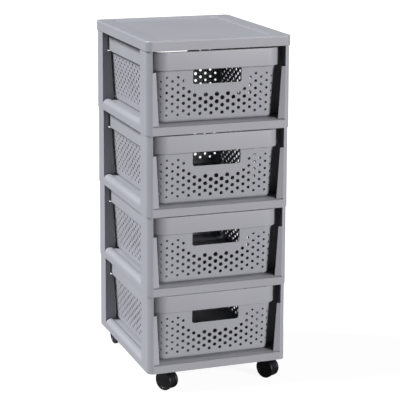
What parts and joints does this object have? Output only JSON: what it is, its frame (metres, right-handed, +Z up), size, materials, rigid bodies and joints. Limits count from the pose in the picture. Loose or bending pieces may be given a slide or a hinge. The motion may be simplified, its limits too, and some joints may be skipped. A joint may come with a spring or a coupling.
{
  "type": "drawer tower",
  "caption": "Tiered plastic tower of open frames holding perforated pull-out baskets with hand holes, under a dished cover, on twin-wheel swivel casters.",
  "frame": {"origin": "on the floor, under the middle of the tower", "axes": "+X to the right, +Y to the rear, +Z up; the baskets pull out towards -Y"},
  "size_m": [0.3006, 0.3566, 0.7216],
  "materials": {
    "grey_plastic": "light grey moulded polypropylene, fine satin texture",
    "caster_plastic": "black moulded nylon, satin",
    "steel": "zinc-plated turned steel"
  },
  "bodies": {
    "tower": {"top_cover": "grey_plastic", "tier_frame_1": "grey_plastic", "tier_frame_2": "grey_plastic", "tier_frame_3": "grey_plastic", "tier_frame_4": "grey_plastic", "caster_fl_stem": "steel", "caster_fl_grip_ring": "steel", "caster_fr_stem": "steel", "caster_fr_grip_ring": "steel", "caster_rl_stem": "steel", "caster_rl_grip_ring": "steel", "caster_rr_stem": "steel", "caster_rr_grip_ring": "steel"},
    "basket_1": {"basket_1": "grey_plastic"},
    "basket_2": {"basket_2": "grey_plastic"},
    "basket_3": {"basket_3": "grey_plastic"},
    "basket_4": {"basket_4": "grey_plastic"},
    "caster_fl": {"caster_fl_hood": "caster_plastic", "caster_fl_axle": "steel"},
    "caster_fl_wheel_left": {"caster_fl_wheel_left": "caster_plastic"},
    "caster_fl_wheel_right": {"caster_fl_wheel_right": "caster_plastic"},
    "caster_fr": {"caster_fr_hood": "caster_plastic", "caster_fr_axle": "steel"},
    "caster_fr_wheel_left": {"caster_fr_wheel_left": "caster_plastic"},
    "caster_fr_wheel_right": {"caster_fr_wheel_right": "caster_plastic"},
    "caster_rl": {"caster_rl_hood": "caster_plastic", "caster_rl_axle": "steel"},
    "caster_rl_wheel_left": {"caster_rl_wheel_left": "caster_plastic"},
    "caster_rl_wheel_right": {"caster_rl_wheel_right": "caster_plastic"},
    "caster_rr": {"caster_rr_hood": "caster_plastic", "caster_rr_axle": "steel"},
    "caster_rr_wheel_left": {"caster_rr_wheel_left": "caster_plastic"},
    "caster_rr_wheel_right": {"caster_rr_wheel_right": "caster_plastic"}
  },
  "joints": [
    {"name": "basket_1_slide", "type": "slide", "parent": "tower", "child": "basket_1", "axis": [0, -1, 0], "range_m": [0, 0.3]},
    {"name": "basket_2_slide", "type": "slide", "parent": "tower", "child": "basket_2", "axis": [0, -1, 0], "range_m": [0, 0.3]},
    {"name": "basket_3_slide", "type": "slide", "parent": "tower", "child": "basket_3", "axis": [0, -1, 0], "range_m": [0, 0.3]},
    {"name": "basket_4_slide", "type": "slide", "parent": "tower", "child": "basket_4", "axis": [0, -1, 0], "range_m": [0, 0.3]},
    {"name": "caster_fl_swivel", "type": "hinge", "parent": "tower", "child": "caster_fl", "pos_m": [-0.112, -0.134, 0.0451], "axis": [0, 0, 1], "continuous": true},
    {"name": "caster_fl_wheel_left_spin", "type": "hinge", "parent": "caster_fl", "child": "caster_fl_wheel_left", "pos_m": [-0.1014, -0.15096, 0.02], "axis": [-0.848, -0.5299, 0], "continuous": true},
    {"name": "caster_fl_wheel_right_spin", "type": "hinge", "parent": "caster_fl", "child": "caster_fl_wheel_right", "pos_m": [-0.1014, -0.15096, 0.02], "axis": [-0.848, -0.5299, 0], "continuous": true},
    {"name": "caster_fr_swivel", "type": "hinge", "parent": "tower", "child": "caster_fr", "pos_m": [0.112, -0.134, 0.0451], "axis": [0, 0, 1], "continuous": true},
    {"name": "caster_fr_wheel_left_spin", "type": "hinge", "parent": "caster_fr", "child": "caster_fr_wheel_left", "pos_m": [0.1226, -0.15096, 0.02], "axis": [-0.848, -0.5299, 0], "continuous": true},
    {"name": "caster_fr_wheel_right_spin", "type": "hinge", "parent": "caster_fr", "child": "caster_fr_wheel_right", "pos_m": [0.1226, -0.15096, 0.02], "axis": [-0.848, -0.5299, 0], "continuous": true},
    {"name": "caster_rl_swivel", "type": "hinge", "parent": "tower", "child": "caster_rl", "pos_m": [-0.112, 0.134, 0.0451], "axis": [0, 0, 1], "continuous": true},
    {"name": "caster_rl_wheel_left_spin", "type": "hinge", "parent": "caster_rl", "child": "caster_rl_wheel_left", "pos_m": [-0.11374, 0.15392, 0.02], "axis": [0.9962, 0.0872, 0], "continuous": true},
    {"name": "caster_rl_wheel_right_spin", "type": "hinge", "parent": "caster_rl", "child": "caster_rl_wheel_right", "pos_m": [-0.11374, 0.15392, 0.02], "axis": [0.9962, 0.0872, 0], "continuous": true},
    {"name": "caster_rr_swivel", "type": "hinge", "parent": "tower", "child": "caster_rr", "pos_m": [0.112, 0.134, 0.0451], "axis": [0, 0, 1], "continuous": true},
    {"name": "caster_rr_wheel_left_spin", "type": "hinge", "parent": "caster_rr", "child": "caster_rr_wheel_left", "pos_m": [0.1226, 0.11704, 0.02], "axis": [-0.848, -0.5299, 0], "continuous": true},
    {"name": "caster_rr_wheel_right_spin", "type": "hinge", "parent": "caster_rr", "child": "caster_rr_wheel_right", "pos_m": [0.1226, 0.11704, 0.02], "axis": [-0.848, -0.5299, 0], "continuous": true}
  ]
}
